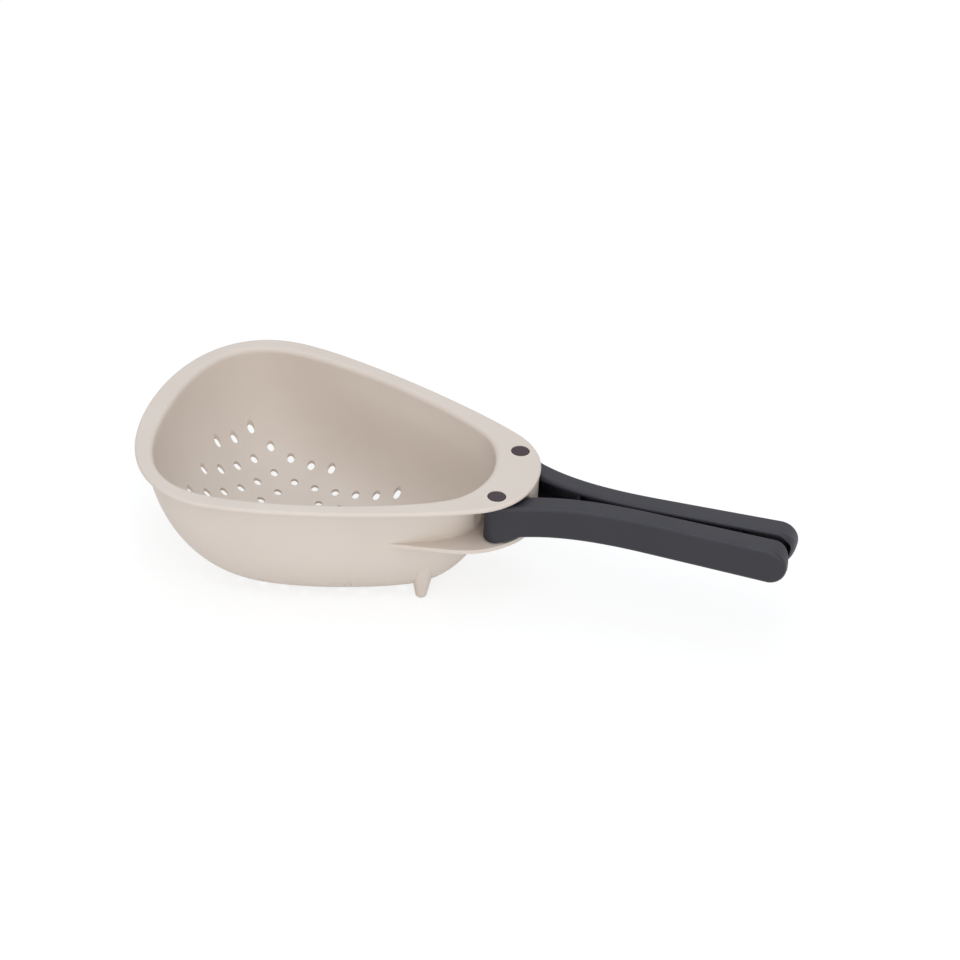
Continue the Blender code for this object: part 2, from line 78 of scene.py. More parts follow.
# Lengths of the curve handles as shares of the sizes that each stretch spans
rim_curve_shares = (0.55, 0.286, 0.25, 0.23, 0.655, 0.56)
mouth_curve_shares = (0.39, 0.35, 0.27, 0.268, 0.70, 0.645)
outline_steps = (40, 56, 56)
lip_edge_steps = 8

# Profile of the bowl: the outline shrinks towards a centre as it goes down
bowl_centre_back = 0.0914
bowl_centre_shift = 0.0038
floor_share = 0.466
wall_draft_share = 0.039
wall_straight_share = 0.53
floor_curve_share = 0.57
flank_tuck_share = 0.045
# Drops where the tuck is full, begins to fade and is gone; how far back it is nought and full
flank_tuck_drops = (0.0220, 0.0260, 0.0660)
flank_tuck_backs = (0.1700, 0.0600)
profile_steps = 44

# Drain holes
hole_diameter = 0.0045
hole_pitch = 0.01274
hole_row_pitch = 0.01185
hole_first_back = 0.1742
hole_margin = 0.0166
hole_field_front_back = 0.0460
hole_rows = 5
hole_columns = 12
hole_sides = 32
# The back feet stand where two holes would be, this many rows out and columns along
back_foot_row = 3
back_foot_column = 3

# Feet
back_foot_diameter = 0.0090
front_foot_root_diameter = 0.0170
front_foot_tip_diameter = 0.0068
front_foot_back = 0.0404
front_foot_half_spacing = 0.0280
front_foot_height = 0.0280
foot_round = 0.0022
foot_sides = 48

# Hinge shelf below the lip, and the web that joins the two
hub_height = 0.0244
shelf_thickness = 0.0025
shelf_turn_ahead = 0.0094
shelf_turn_half_width = 0.0247
shelf_turn_angle = math.radians(127)
shelf_end_back = 0.0660
shelf_end_half_width = 0.0531
shelf_end_angle = math.radians(165)
shelf_nose_shares = (0.46, 0.377)
shelf_curve_shares = (0.39, 0.584)
shelf_nose_steps = 20
shelf_curve_steps = 44
shelf_embed = 0.0200
shelf_fillet = 0.0008
shelf_sink = 0.0004
# Hollow in the wall behind each hub: radius round the pin, and drop below the rim
hub_pocket_profile = ((0.0138, 0.0276), (0.0136, 0.0240), (0.0132, 0.0200), (0.0129, 0.0160),
                      (0.0127, 0.0120), (0.0125, 0.0080), (0.0125, 0.00305))
web_wall = 0.0022
web_inset = 0.0007
web_half_width = 0.0091
web_back = 0.0170
web_nose_steps = 3
web_slope = math.tan(math.radians(4))
web_mouth_back = 0.0040
web_margin = 0.0010

# Pivot pins, washers and retaining rings
pin_diameter = 0.0060
pin_head_diameter = 0.0104
pin_head_thickness = 0.0017
pin_tail = 0.0016
pin_chamfer = 0.0004
washer_thickness = 0.0008
washer_diameter = 0.0120
retainer_thickness = 0.0010
retainer_diameter = 0.0110
gap = 0.0003
bore_clearance = 0.0002

# Handles
hub_diameter = 0.0128
hub_round = 0.0022
hub_sides = 96
hub_blend_start = 0.0055
hub_blend_end = 0.0145
arm_root_share = 0.94
arm_root_angle = math.radians(21)
arm_curve_shares = (0.19, 0.65)
arm_line_steps = 96
arm_top_drop = 0.0050
arm_root_height = 0.0206
arm_tip_height = 0.0218
arm_tip_thickness = 0.0146
arm_round = 0.0026
arm_inner_round = 0.0022
arm_station_spacing = 0.0024
tip_steps = 20
tip_ease_length = 0.0075
tip_ease_depth = 0.0090
grip_start = 0.0850
grip_offset = 0.0077
grip_spread = 0.0025
handle_wall = 0.0024
channel_start = 0.0120
rib_thickness = 0.0016
rib_recess = 0.0040
bay_count = 5
bay_step = 0.0003

# Round edges and cutters
edge_steps = 8
round_sides = 64
overrun = 0.0010
merge_distance = 0.000005
smooth_angle = math.radians(35)

# Noise of the plastics: size of a feature, detail and roughness; the grain brings its own size
drift_noise = (0.045, 3.0, 0.5)
speck_noise = (0.0006, 2.0, 0.5)
gloss_noise = (0.012, 4.0, 0.6)
coarse_grain_noise = (3.0, 0.55)
fine_grain_noise = (2.0, 0.5)
fine_grain_divisor = 3
noise_low = 0.3
noise_high = 0.7
speck_swing = 0.12
gloss_swing = 0.05

# Studio: floor, dome and lamps
white = (1.0, 1.0, 1.0, 1.0)
floor_half_width = 6.0
floor_level = -0.0001
paper_colour = (0.92, 0.92, 0.92, 1.0)
paper_roughness = 0.9
glow_strength = 1.06
glow_share = 0.75
dome_strength = 0.68
lamp_aim = Vector((-0.05, 0, 0.04))

# Camera: found from the photograph's outline
camera_right = Vector((0.958593, 0.280498, 0.0492))
camera_up = Vector((-0.197698, 0.531111, 0.823915))
camera_place = Vector((0.49146, -1.88647, 1.4006))
camera_lens = 155.0841
camera_sensor_width = 36.0
camera_clip_start = 0.05
camera_clip_end = 50.0


def bezier(start, leave, arrive, end, steps):
    """Points along a cubic curve, without its last point."""
    points = []
    for step in range(steps):
        t = step / steps
        a, b, c, d = (1 - t) ** 3, 3 * t * (1 - t) ** 2, 3 * t * t * (1 - t), t ** 3
        points.append(start * a + leave * b + arrive * c + end * d)
    return points


def heading(angle):
    return Vector((math.cos(angle), math.sin(angle)))


def quarter(steps):
    """Angles from nought to a right angle."""
    return [math.pi / 2 * step / steps for step in range(steps + 1)]


def egg_outline(nose, shoulder, angle, widest, back, shares):
    """Closed outline round the pin line, anticlockwise from the nose, in three curves a side."""
    nose_share, before_share, after_share, side_share, corner_share, end_share = shares
    along = heading(angle)
    ahead = Vector((1, 0))
    across = Vector((0, 1))
    flank = shoulder.x - widest.x
    corner = widest.x + back
    tip = Vector((nose, 0))
    tail = Vector((-back, 0))
    half = bezier(tip, tip + across * shoulder.y * nose_share,
                  shoulder - along * shoulder.y * before_share, shoulder, outline_steps[0])
    half += bezier(shoulder, shoulder + along * flank * after_share,
                   widest + ahead * flank * side_share, widest, outline_steps[1])
    half += bezier(widest, widest - ahead * corner * corner_share,
                   tail + across * widest.y * end_share, tail, outline_steps[2])
    mirrored = [Vector((point.x, -point.y)) for point in half[:0:-1]]
    return half + [tail] + mirrored


def offset_loop(loop, distance):
    """A closed anticlockwise outline moved outwards by a distance."""
    moved = []
    for index, point in enumerate(loop):
        run = loop[(index + 1) % len(loop)] - loop[index - 1]
        moved.append(point + Vector((run.y, -run.x)).normalized() * distance)
    return moved


def rim_outline():
    shoulder = Vector((-rim_shoulder_back, rim_shoulder_half_width))
    widest = Vector((-rim_widest_back, rim_half_width))
    return egg_outline(rim_nose, shoulder, rim_shoulder_angle, widest, rim_back, rim_curve_shares)


def mouth_outline():
    """Inner face of the wall at its top."""
    shoulder = Vector((-mouth_shoulder_back, mouth_shoulder_half_width))
    widest = Vector((-rim_widest_back, mouth_half_width))
    return egg_outline(-mouth_nose_back, shoulder, mouth_shoulder_angle, widest, mouth_back,
                       mouth_curve_shares)


def side_outline():
    """Outer face of the wall at its top, under the lip."""
    shoulder = Vector((-side_shoulder_back, side_shoulder_half_width))
    widest = Vector((-rim_widest_back, side_half_width))
    return egg_outline(-side_nose_back, shoulder, mouth_shoulder_angle, widest, side_back,
                       mouth_curve_shares)


def wall_profile(start, depth):
    """Pairs of outline share and drop below the rim, from the top of the wall to the floor."""
    top = Vector((1, start))
    leave = Vector((1 - wall_draft_share, start + (depth - start) * wall_straight_share))
    arrive = Vector((floor_share + (1 - floor_share) * floor_curve_share, depth))
    bottom = Vector((floor_share, depth))
    return bezier(top, leave, arrive, bottom, profile_steps) + [bottom]


def smooth_step(value, low, high):
    share = min(1, max(0, (value - low) / (high - low)))
    return share * share * (3 - 2 * share)


def flank_width(back, drop):
    """Share of its width that a level of the bowl keeps: the flanks are tucked in below the lip."""
    full, fading, gone = flank_tuck_drops
    depth_share = smooth_step(drop, 0, full) * (1 - smooth_step(drop, fading, gone))
    return 1 - flank_tuck_share * depth_share * smooth_step(back, *flank_tuck_backs)


def bowl_ring(outline, share, drop, depth):
    """One level of the bowl: the outline drawn in towards the bowl's centre."""
    centre = bowl_centre_shift * drop / depth - bowl_centre_back
    return [Vector((centre + share * (point.x + bowl_centre_back),
                    share * point.y * flank_width(-point.x, drop), -drop)) for point in outline]


def flat_ring(outline, drop):
    return [Vector((point.x, point.y, -drop)) for point in outline]


def place(points):
    """From the pins' own frame, whose zero is on the rim, to the part's frame."""
    return [point + Vector((pivot_x, 0, rim_height)) for point in points]


def loft(name, rings):
    """A closed solid through rings of equal count, given from its lower end to its upper one."""
    mesh = bmesh.new()
    rows = [[mesh.verts.new(point) for point in ring] for ring in rings]
    for low, high in zip(rows, rows[1:]):
        bridge(mesh, low, high)
    mesh.faces.new(rows[0][::-1])
    mesh.faces.new(rows[-1])
    return add_mesh(name, mesh)


def bridge(mesh, low, high):
    """Faces between two rings of equal count."""
    for index in range(len(low)):
        following = (index + 1) % len(low)
        mesh.faces.new((low[index], low[following], high[following], high[index]))


def add_mesh(name, mesh):
    data = bpy.data.meshes.new(name)
    mesh.to_mesh(data)
    mesh.free()
    return add_object(name, data)


def add_object(name, data):
    made = bpy.data.objects.new(name, data)
    bpy.context.scene.collection.objects.link(made)
    return made


def plate(name, outline, bottom, top):
    """A flat solid of one outline between two drops below the rim."""
    return loft(name, [place(flat_ring(outline, bottom)), place(flat_ring(outline, top))])


def turned(name, profile, centre, sides):
    """A solid of revolution round an upright axis; the profile runs up its outer side."""
    rings = []
    for radius, height in profile:
        rings.append([centre + Vector((radius * math.cos(turn), radius * math.sin(turn), height))
                      for turn in turns(sides)])
    return loft(name, rings)


def turns(sides):
    """Angles of a full circle."""
    return [2 * math.pi * index / sides for index in range(sides)]


def combine(target, tool, operation):
    """Adds a tool to a solid, cuts it away or keeps what both share; leaves one plain mesh."""
    modifier = target.modifiers.new(tool.name, "BOOLEAN")
    modifier.operation = operation
    modifier.solver = "EXACT"
    modifier.object = tool
    depsgraph = bpy.context.evaluated_depsgraph_get()
    result = bpy.data.meshes.new_from_object(target.evaluated_get(depsgraph))
    mesh = bmesh.new()
    mesh.from_mesh(result)
    bmesh.ops.remove_doubles(mesh, verts=mesh.verts, dist=merge_distance)
    bmesh.ops.dissolve_degenerate(mesh, edges=mesh.edges, dist=merge_distance)
    mesh.to_mesh(result)
    mesh.free()
    target.modifiers.clear()
    target.data = result
    bpy.data.objects.remove(tool)


# Places worked out from the sizes
pivot_x = (rim_back - handle_reach) / 2
pin_y = pin_spacing / 2
outer_depth = cavity_depth + wall
washer_top = lip_thickness + gap
hub_top = washer_top + washer_thickness + gap
hub_bottom = hub_top + hub_height
shelf_top = hub_bottom + gap
shelf_bottom = shelf_top + shelf_thickness
lip_edge_round = lip_thickness / 2


def pin_centre(side):
    """Where a pin's own line meets the rim's top."""
    return Vector((pivot_x, side * pin_y, rim_height))


def wall_rings():
    """Levels of the wall's outer face, from the floor up to the lip."""
    profile = wall_profile(lip_thickness, outer_depth)[::-1]
    return [bowl_ring(side_outline(), share, drop, outer_depth) for share, drop in profile]


def bowl_body():
    """The moulded outer form, still filled in, from the floor up to the flat top of the lip."""
    rings = wall_rings()
    rim = rim_outline()
    for half_turn in quarter(lip_edge_steps):
        turn = 2 * half_turn - math.pi / 2
        edge = offset_loop(rim, lip_edge_round * (math.cos(turn) - 1))
        rings.append(flat_ring(edge, lip_edge_round * (1 - math.sin(turn))))
    return loft("basin", [place(ring) for ring in rings])


def cavity():
    """The space inside the bowl, with the rounded edge of the mouth."""
    outline = mouth_outline()
    thin = offset_loop(side_outline(), -wall)
    rings = []
    for share, drop in wall_profile(mouth_fillet, cavity_depth)[::-1]:
        thinning = sum(min(1, (drop - mouth_fillet) / reach) for reach in wall_thinning_reaches) / 2
        level = [point.lerp(far, thinning) for point, far in zip(outline, thin)]
        rings.append(bowl_ring(level, share, drop, cavity_depth))
    for turn in quarter(edge_steps)[1:]:
        edge = offset_loop(outline, mouth_fillet * (1 - math.cos(turn)))
        rings.append(flat_ring(edge, mouth_fillet * (1 - math.sin(turn))))
    rings.append(flat_ring(offset_loop(outline, mouth_fillet), -overrun))
    return loft("cavity", [place(ring) for ring in rings])


def shelf():
    """Flat shelf under the hubs: a blunt nose just behind the rim's, fading along each flank."""
    nose = Vector((rim_nose - web_inset, 0))
    turn = Vector((shelf_turn_ahead, shelf_turn_half_width))
    end = Vector((-shelf_end_back, shelf_end_half_width))
    span = shelf_end_back + shelf_turn_ahead
    along = heading(shelf_turn_angle)
    front = bezier(nose, nose + Vector((0, turn.y * shelf_nose_shares[0])),
                   turn - along * turn.y * shelf_nose_shares[1], turn, shelf_nose_steps)
    leave = turn + along * span * shelf_curve_shares[0]
    arrive = end - heading(shelf_end_angle) * span * shelf_curve_shares[1]
    front += bezier(turn, leave, arrive, end, shelf_curve_steps)
    front.append(end)
    front.append(Vector((-shelf_end_back - shelf_embed, 0)))
    outline = front + [Vector((point.x, -point.y)) for point in front[-2:0:-1]]
    flat = plate("shelf", outline, shelf_bottom, shelf_top)
    fillet = shelf_root()
    prism = plate("shelf_prism", outline, shelf_bottom, shelf_top - shelf_fillet - overrun)
    combine(fillet, prism, "INTERSECT")
    combine(flat, fillet, "UNION")
    return flat


def shelf_root():
    """Round inner corner all round the wall where a shelf would meet it, filled in."""
    profile = wall_profile(lip_thickness, outer_depth)
    outline = side_outline()
    rings = []
    for turn in quarter(edge_steps):
        drop = shelf_top - shelf_fillet * (1 - math.cos(turn))
        spread = shelf_fillet * (1 - math.sin(turn)) - shelf_sink
        level = bowl_ring(outline, share_at(profile, drop), drop, outer_depth)
        rings.append([Vector((*point, -drop)) for point in
                      offset_loop([Vector((point.x, point.y)) for point in level], spread)])
    lowest = [Vector((point.x, point.y, -(shelf_top + shelf_bottom) / 2)) for point in rings[0]]
    return loft("shelf_root", [place(ring) for ring in [lowest] + rings])


def share_at(profile, drop):
    """Outline share of the wall at a drop below the rim."""
    for (share, high), (next_share, low) in zip(profile, profile[1:]):
        if high <= drop <= low:
            return share + (next_share - share) * (drop - high) / (low - high)
    return profile[-1][0]


def rim_front(across):
    """How far ahead of the pins the nose of the rim is, at a distance off its middle line."""
    loop = rim_outline()
    for start, end in zip(loop, loop[1:]):
        if start.y <= abs(across) < end.y:
            return start.x + (end.x - start.x) * (abs(across) - start.y) / (end.y - start.y)
    return rim_nose


def web():
    """Nose wall and two side walls between the lip and the shelf, which the handles close on."""
    steps = range(-web_nose_steps, web_nose_steps + 1)
    offsets = [web_half_width * step / web_nose_steps for step in steps]
    nose = [Vector((rim_front(across) - web_inset, across)) for across in offsets]
    side = nose[-1]
    corner = Vector((-web_back, side.y + (side.x + web_back) * web_slope))
    outline = [Vector((-web_back, -corner.y))] + nose + [corner]
    outline += web_inner(0)[::-1]
    return plate("web", outline, (shelf_top + shelf_bottom) / 2, lip_thickness / 2)


def web_inner(margin):
    """Inner outline of the web, from flank to flank round its nose, drawn in by a margin."""
    half = web_half_width - web_wall - margin
    front = rim_front(web_half_width) - web_inset - web_wall - margin
    back = -web_back
    spread = half + (front - back) * web_slope
    return [Vector((back, -spread)), Vector((front, -half)),
            Vector((front, half)), Vector((back, spread))]


def web_mouth():
    """Opening in the shelf below the hollow of the web, ahead of the bowl's wall."""
    back = web_mouth_back
    nose = web_inner(web_margin)[1:3]
    spread = nose[1].y + (nose[1].x + back) * web_slope
    outline = [Vector((-back, -spread))] + nose + [Vector((-back, spread))]
    return plate("web_mouth", outline, shelf_bottom + overrun, shelf_top - overrun)


def hole_places():
    """Rows along the bowl, every other one shifted by half a pitch, inside the field's edge."""
    edge = offset_loop(side_outline(), -hole_margin)
    places = []
    for row in range(-hole_rows, hole_rows + 1):
        shift = 0 if row % 2 else -hole_pitch / 2
        for column in range(-1, hole_columns):
            spot = Vector((shift - hole_first_back + column * hole_pitch, row * hole_row_pitch))
            if spot.x < -hole_field_front_back and inside(edge, spot) and not over_foot(spot):
                places.append(spot)
    return places


def inside(loop, spot):
    """Whether a spot lies inside a closed outline."""
    crossings = 0
    for start, end in zip(loop, loop[1:] + loop[:1]):
        if (start.y > spot.y) != (end.y > spot.y):
            crossing = start.x + (spot.y - start.y) * (end.x - start.x) / (end.y - start.y)
            crossings += crossing > spot.x
    return crossings % 2 == 1


def back_foot_places():
    back = hole_first_back - back_foot_column * hole_pitch
    return [Vector((-back, side * back_foot_row * hole_row_pitch)) for side in (-1, 1)]


def over_foot(spot):
    return any((spot - foot).length < hole_pitch / 2 for foot in back_foot_places())


def drills():
    """All drain holes as one set of upright cutters."""
    mesh = bmesh.new()
    for spot in hole_places():
        low, high = [], []
        for turn in turns(hole_sides):
            point = spot + heading(turn) * hole_diameter / 2
            low.append(Vector((point.x, point.y, -outer_depth - overrun)))
            high.append(Vector((point.x, point.y, overrun)))
        low = [mesh.verts.new(point) for point in place(low)]
        high = [mesh.verts.new(point) for point in place(high)]
        bridge(mesh, low, high)
        mesh.faces.new(low[::-1])
        mesh.faces.new(high)
    return add_mesh("drills", mesh)


def foot_profile(root_radius, tip_radius, height):
    """A tapered peg from its rounded tip on the ground up to its root."""
    profile = [(tip_radius - foot_round * (1 - math.sin(turn)), foot_round * (1 - math.cos(turn)))
               for turn in quarter(edge_steps)]
    return profile + [(root_radius, height)]


def feet():
    """Two long pegs under the nose and two short feet under the wide end."""
    front = foot_profile(front_foot_root_diameter / 2, front_foot_tip_diameter / 2,
                         front_foot_height)
    radius = back_foot_diameter / 2
    back = foot_profile(radius, radius, rim_height - outer_depth + wall / 2)
    front_spots = [Vector((-front_foot_back, side * front_foot_half_spacing)) for side in (-1, 1)]
    return [turned(name, profile, Vector((spot.x + pivot_x, spot.y, 0)), foot_sides)
            for name, profile, spots in (("front_foot", front, front_spots),
                                         ("back_foot", back, back_foot_places()))
            for spot in spots]


def pin_holes(side):
    """Bore through lip and shelf for one pin, with the recess for its head."""
    shank = pin_diameter / 2 + bore_clearance
    head = pin_head_diameter / 2 + bore_clearance
    recess = pin_head_thickness + gap
    profile = [(shank, -shelf_bottom - overrun), (shank, -recess), (head, -recess), (head, overrun)]
    return turned("pin_hole", profile, pin_centre(side), round_sides)


def hub_pocket(side):
    """Hollow in the bowl's wall that leaves room round a hub."""
    profile = [(radius, -drop) for radius, drop in hub_pocket_profile]
    return turned("hub_pocket", profile, pin_centre(side), hub_sides)


def make_bowl():
    body = bowl_body()
    for added in (shelf(), web(), *feet()):
        combine(body, added, "UNION")
    for cut in (web_mouth(), hub_pocket(-1), hub_pocket(1), cavity(), drills(),
                pin_holes(-1), pin_holes(1)):
        combine(body, cut, "DIFFERENCE")
    return body


def make_pins(side, hand):
    """Headed pin, friction washer and push-on ring of one pivot."""
    centre = pin_centre(side)
    shank = pin_diameter / 2
    head = pin_head_diameter / 2
    retainer_bottom = shelf_bottom + gap + retainer_thickness
    tail = retainer_bottom + pin_tail
    profile = [(shank - pin_chamfer, -tail), (shank, pin_chamfer - tail),
               (shank, -pin_head_thickness), (head, -pin_head_thickness),
               (head, -pin_chamfer), (head - pin_chamfer, 0)]
    pin = turned("pin_" + hand, profile, centre, round_sides)
    washer = flat_ring_solid("washer_" + hand, centre, washer_diameter,
                             washer_top + washer_thickness, washer_thickness)
    retainer = flat_ring_solid("retainer_" + hand, centre, retainer_diameter,
                               retainer_bottom, retainer_thickness)
    return pin, washer, retainer


def flat_ring_solid(name, centre, diameter, drop, thickness):
    """A flat ring round the pin, whose lower face is a given drop below the rim."""
    profile = [(diameter / 2, -drop), (diameter / 2, thickness - drop)]
    made = turned(name, profile, centre, round_sides)
    bore = pin_diameter / 2 + gap
    hole = [(bore, -drop - overrun), (bore, thickness - drop + overrun)]
    combine(made, turned("ring_bore", hole, centre, round_sides), "DIFFERENCE")
    return made


def arm_line():
    """Middle line of an arm in plan, from its pin to its tip, for the arm on the +Y side."""
    root = Vector((0, pin_y))
    grip = Vector((grip_start, grip_offset))
    tip = Vector((handle_reach, grip_offset + grip_spread))
    run = (tip - grip).normalized()
    leave = root + heading(-arm_root_angle) * grip_start * arm_curve_shares[0]
    arrive = grip - run * grip_start * arm_curve_shares[1]
    return bezier(root, leave, arrive, grip, arm_line_steps) + [grip, tip]


def running_lengths(line):
    """Distance along a line of each of its points."""
    lengths = [0]
    for start, end in zip(line, line[1:]):
        lengths.append(lengths[-1] + (end - start).length)
    return lengths


def side_of(line, index):
    """Direction square to a line at one of its points, to its left."""
    run = line[min(index + 1, len(line) - 1)] - line[max(index - 1, 0)]
    return Vector((-run.y, run.x)).normalized()


def arm_point(distance, outwards, drop):
    """A point of the arm: along its middle line, outwards from it, and below the rim."""
    index = 0
    while index < len(arm_middle) - 2 and distance > arm_marks[index + 1]:
        index += 1
    share = (distance - arm_marks[index]) / (arm_marks[index + 1] - arm_marks[index])
    spot = arm_middle[index].lerp(arm_middle[index + 1], share)
    out = side_of(arm_middle, index).lerp(side_of(arm_middle, index + 1), share).normalized()
    return Vector((*(spot + out * outwards), -drop))


def arm_half_thickness(distance):
    root = hub_diameter / 2 * arm_root_share
    widened = smooth_step(distance, 0, hub_blend_end) * (hub_diameter / 2 - root)
    return root + widened + (arm_tip_thickness - hub_diameter) / 2 * (distance / arm_length) ** 2


def hub_blend(distance):
    return smooth_step(distance, hub_blend_start, hub_blend_end)


def arm_top(distance):
    return hub_top + (arm_top_drop - hub_top) * hub_blend(distance)


def arm_bottom(distance):
    height = arm_root_height + (arm_tip_height - arm_root_height) * distance / arm_length
    drop = arm_top_drop + height
    return hub_bottom + (drop - hub_bottom) * hub_blend(distance)


def arm_side(face, distance, depth):
    """Distance outwards from the middle line to a side of the arm, at a depth below its face.

    The inner side rounds off towards the tip.
    """
    past = max(0, distance + tip_ease_length - arm_length) / tip_ease_length
    ease = tip_ease_depth * (1 - math.sqrt(1 - min(1, past) ** 2)) if face < 0 else 0
    return face * (arm_half_thickness(distance) - depth - ease)


def arm_loop(face, depth, inset, start, end=None):
    """Top and bottom points round the arm's side view, at a depth in from its outer or inner face.

    The loop is drawn in by an inset. Without an end it runs on round the tip.
    """
    radius = arm_tip_height / 2 - inset
    last = arm_length - arm_tip_height / 2 if end is None else end
    middle = arm_top_drop + arm_tip_height / 2
    steps = max(2, round((last - start) / arm_station_spacing))
    upper, lower = [], []
    for step in range(steps + 1):
        mark = start + (last - start) * step / steps
        out = arm_side(face, mark, depth)
        upper.append(arm_point(mark, out, arm_top(mark) + inset))
        lower.append(arm_point(mark, out, arm_bottom(mark) - inset))
    if end is not None:
        return upper, lower
    for turn in quarter(tip_steps)[1:]:
        mark = last + radius * math.sin(turn)
        out = arm_side(face, mark, depth)
        upper.append(arm_point(mark, out, middle - radius * math.cos(turn)))
        lower.append(arm_point(mark, out, middle + radius * math.cos(turn)))
    return upper, lower[:-1]


def add_bar(mesh, loops):
    """Adds a closed bar whose loops, of top and bottom points, run across its thickness."""
    rows = [([mesh.verts.new(point) for point in upper], [mesh.verts.new(point) for point in lower])
            for upper, lower in loops]
    rings = [upper + lower[::-1] for upper, lower in rows]
    for first, second in zip(rings, rings[1:]):
        bridge(mesh, first, second)
    for upper, lower in (rows[0], rows[-1]):
        for index in range(len(upper) - 1):
            # A loop that closes round the tip ends in a triangle
            corners = [upper[index], upper[index + 1], *lower[index:index + 2][::-1]]
            mesh.faces.new(corners)


def make_bars(name, bars, side):
    """One object of closed bars, mirrored to the side of the part that it is for."""
    mesh = bmesh.new()
    for loops in bars:
        add_bar(mesh, [[place_arm(points, side) for points in loop] for loop in loops])
    bmesh.ops.recalc_face_normals(mesh, faces=mesh.faces)
    return add_mesh(name, mesh)


def place_arm(points, side):
    return place([Vector((point.x, side * point.y, point.z)) for point in points])


def arm_bar():
    """The arm as a solid, with a round edge all along its outer side and a finer one inside."""
    outer, inner = [[arm_loop(face, radius * (1 - math.cos(turn)), radius * (1 - math.sin(turn)), 0)
                     for turn in quarter(edge_steps)]
                    for face, radius in ((1, arm_round), (-1, arm_inner_round))]
    return outer + inner[::-1]


def channel_bars():
    """The long recess in an arm's inner side, and the deeper bays that leave the ribs standing."""
    shallow = [arm_loop(-1, rib_recess, handle_wall, channel_start),
               arm_loop(-1, -overrun, handle_wall, channel_start)]
    inset = handle_wall + bay_step
    pitch = (arm_length - channel_start) / bay_count
    deep = []
    for bay in range(bay_count):
        start = channel_start + bay_step + bay * pitch
        end = start + pitch - rib_thickness if bay < bay_count - 1 else None
        deep.append([arm_loop(1, handle_wall, inset, start, end),
                     arm_loop(-1, rib_recess - bay_step, inset, start, end)])
    return [shallow], deep


def make_handle(side, hand):
    """A handle: round hub, arm with a full-round tip, and an inner side cored out between ribs."""
    handle = make_bars("grip_" + hand, [arm_bar()], side)
    centre = pin_centre(side)
    radius = hub_diameter / 2
    profile = [(radius - hub_round * (1 - math.sin(turn)),
                hub_round * (1 - math.cos(turn)) - hub_bottom) for turn in quarter(edge_steps)]
    profile.append((radius, -hub_top))
    combine(handle, turned("hub", profile, centre, hub_sides), "UNION")
    shallow, deep = channel_bars()
    combine(handle, make_bars("channel", shallow, side), "DIFFERENCE")
    combine(handle, make_bars("bays", deep, side), "DIFFERENCE")
    bore = pin_diameter / 2 + bore_clearance
    hole = [(bore, -hub_bottom - overrun), (bore, overrun - hub_top)]
    combine(handle, turned("hub_bore", hole, centre, round_sides), "DIFFERENCE")
    return handle


def set_sockets(node, **values):
    """Sets a node's inputs by their names, written with _ for a space."""
    for name, value in values.items():
        node.inputs[name.replace("_", " ")].default_value = value


def add_node(tree, kind, **values):
    node = tree.nodes.new(kind)
    set_sockets(node, **values)
    return node


def calculate(tree, operation, first, second, clamp=False):
    """A socket and a second one, or a plain number, through a math node."""
    node = tree.nodes.new("ShaderNodeMath")
    node.operation = operation
    node.use_clamp = clamp
    tree.links.new(first, node.inputs[0])
    if isinstance(second, float):
        node.inputs[1].default_value = second
    else:
        tree.links.new(second, node.inputs[1])
    return node.outputs[0]


def noise(tree, feature_size, detail, roughness):
    """Noise in the object's own metres."""
    coordinates = tree.nodes.new("ShaderNodeTexCoord")
    node = add_node(tree, "ShaderNodeTexNoise", Scale=1 / feature_size, Detail=detail,
                    Roughness=roughness)
    tree.links.new(coordinates.outputs["Object"], node.inputs["Vector"])
    return node.outputs["Fac"]


def ranged(tree, socket, low, high):
    """A noise's usual values brought to a range."""
    node = add_node(tree, "ShaderNodeMapRange", From_Min=noise_low, From_Max=noise_high,
                    To_Min=low, To_Max=high)
    tree.links.new(socket, node.inputs["Value"])
    return node.outputs["Result"]


def plastic(name, dark, light, roughness, grain_size, grain_height, specular=0.35, metallic=0.0):
    """Moulded surface: slow colour drift, uneven gloss and a fine eroded-mould texture."""
    material = bpy.data.materials.new(name)
    material.use_nodes = True
    tree = material.node_tree
    shader = tree.nodes["Principled BSDF"]
    set_sockets(shader, Specular_IOR_Level=specular, Metallic=metallic)
    drift = ranged(tree, noise(tree, *drift_noise), 0.0, 1.0)
    speck = ranged(tree, noise(tree, *speck_noise), -speck_swing, speck_swing)
    tint = calculate(tree, "ADD", drift, speck, clamp=True)
    mix = tree.nodes.new("ShaderNodeMix")
    mix.data_type = "RGBA"
    tree.links.new(tint, mix.inputs["Factor"])
    set_sockets(mix, A=(*dark, 1.0), B=(*light, 1.0))
    tree.links.new(mix.outputs["Result"], shader.inputs["Base Color"])
    gloss = ranged(tree, noise(tree, *gloss_noise),
                   roughness - gloss_swing, roughness + gloss_swing)
    tree.links.new(gloss, shader.inputs["Roughness"])
    coarse = noise(tree, grain_size, *coarse_grain_noise)
    fine = noise(tree, grain_size / fine_grain_divisor, *fine_grain_noise)
    grain = calculate(tree, "ADD", coarse, fine)
    bump = add_node(tree, "ShaderNodeBump", Strength=1.0, Distance=grain_height)
    tree.links.new(grain, bump.inputs["Height"])
    tree.links.new(bump.outputs["Normal"], shader.inputs["Normal"])
    material.diffuse_color = (*light, 1.0)
    return material


def smooth(target):
    """Smooth faces with crisp edges; flat faces keep their own normals up to their borders."""
    mesh = target.data
    mesh.shade_smooth()
    mesh.set_sharp_from_angle(angle=smooth_angle)
    weighted = target.modifiers.new("weighted_normals", "WEIGHTED_NORMAL")
    weighted.keep_sharp = True
    weighted.mode = "FACE_AREA"


def wear(target, material, body, node):
    """Gives a piece its material and its body, and hides the imported part that it stands for."""
    target.data.materials.clear()
    target.data.materials.append(material)
    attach(target, body)
    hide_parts(node)


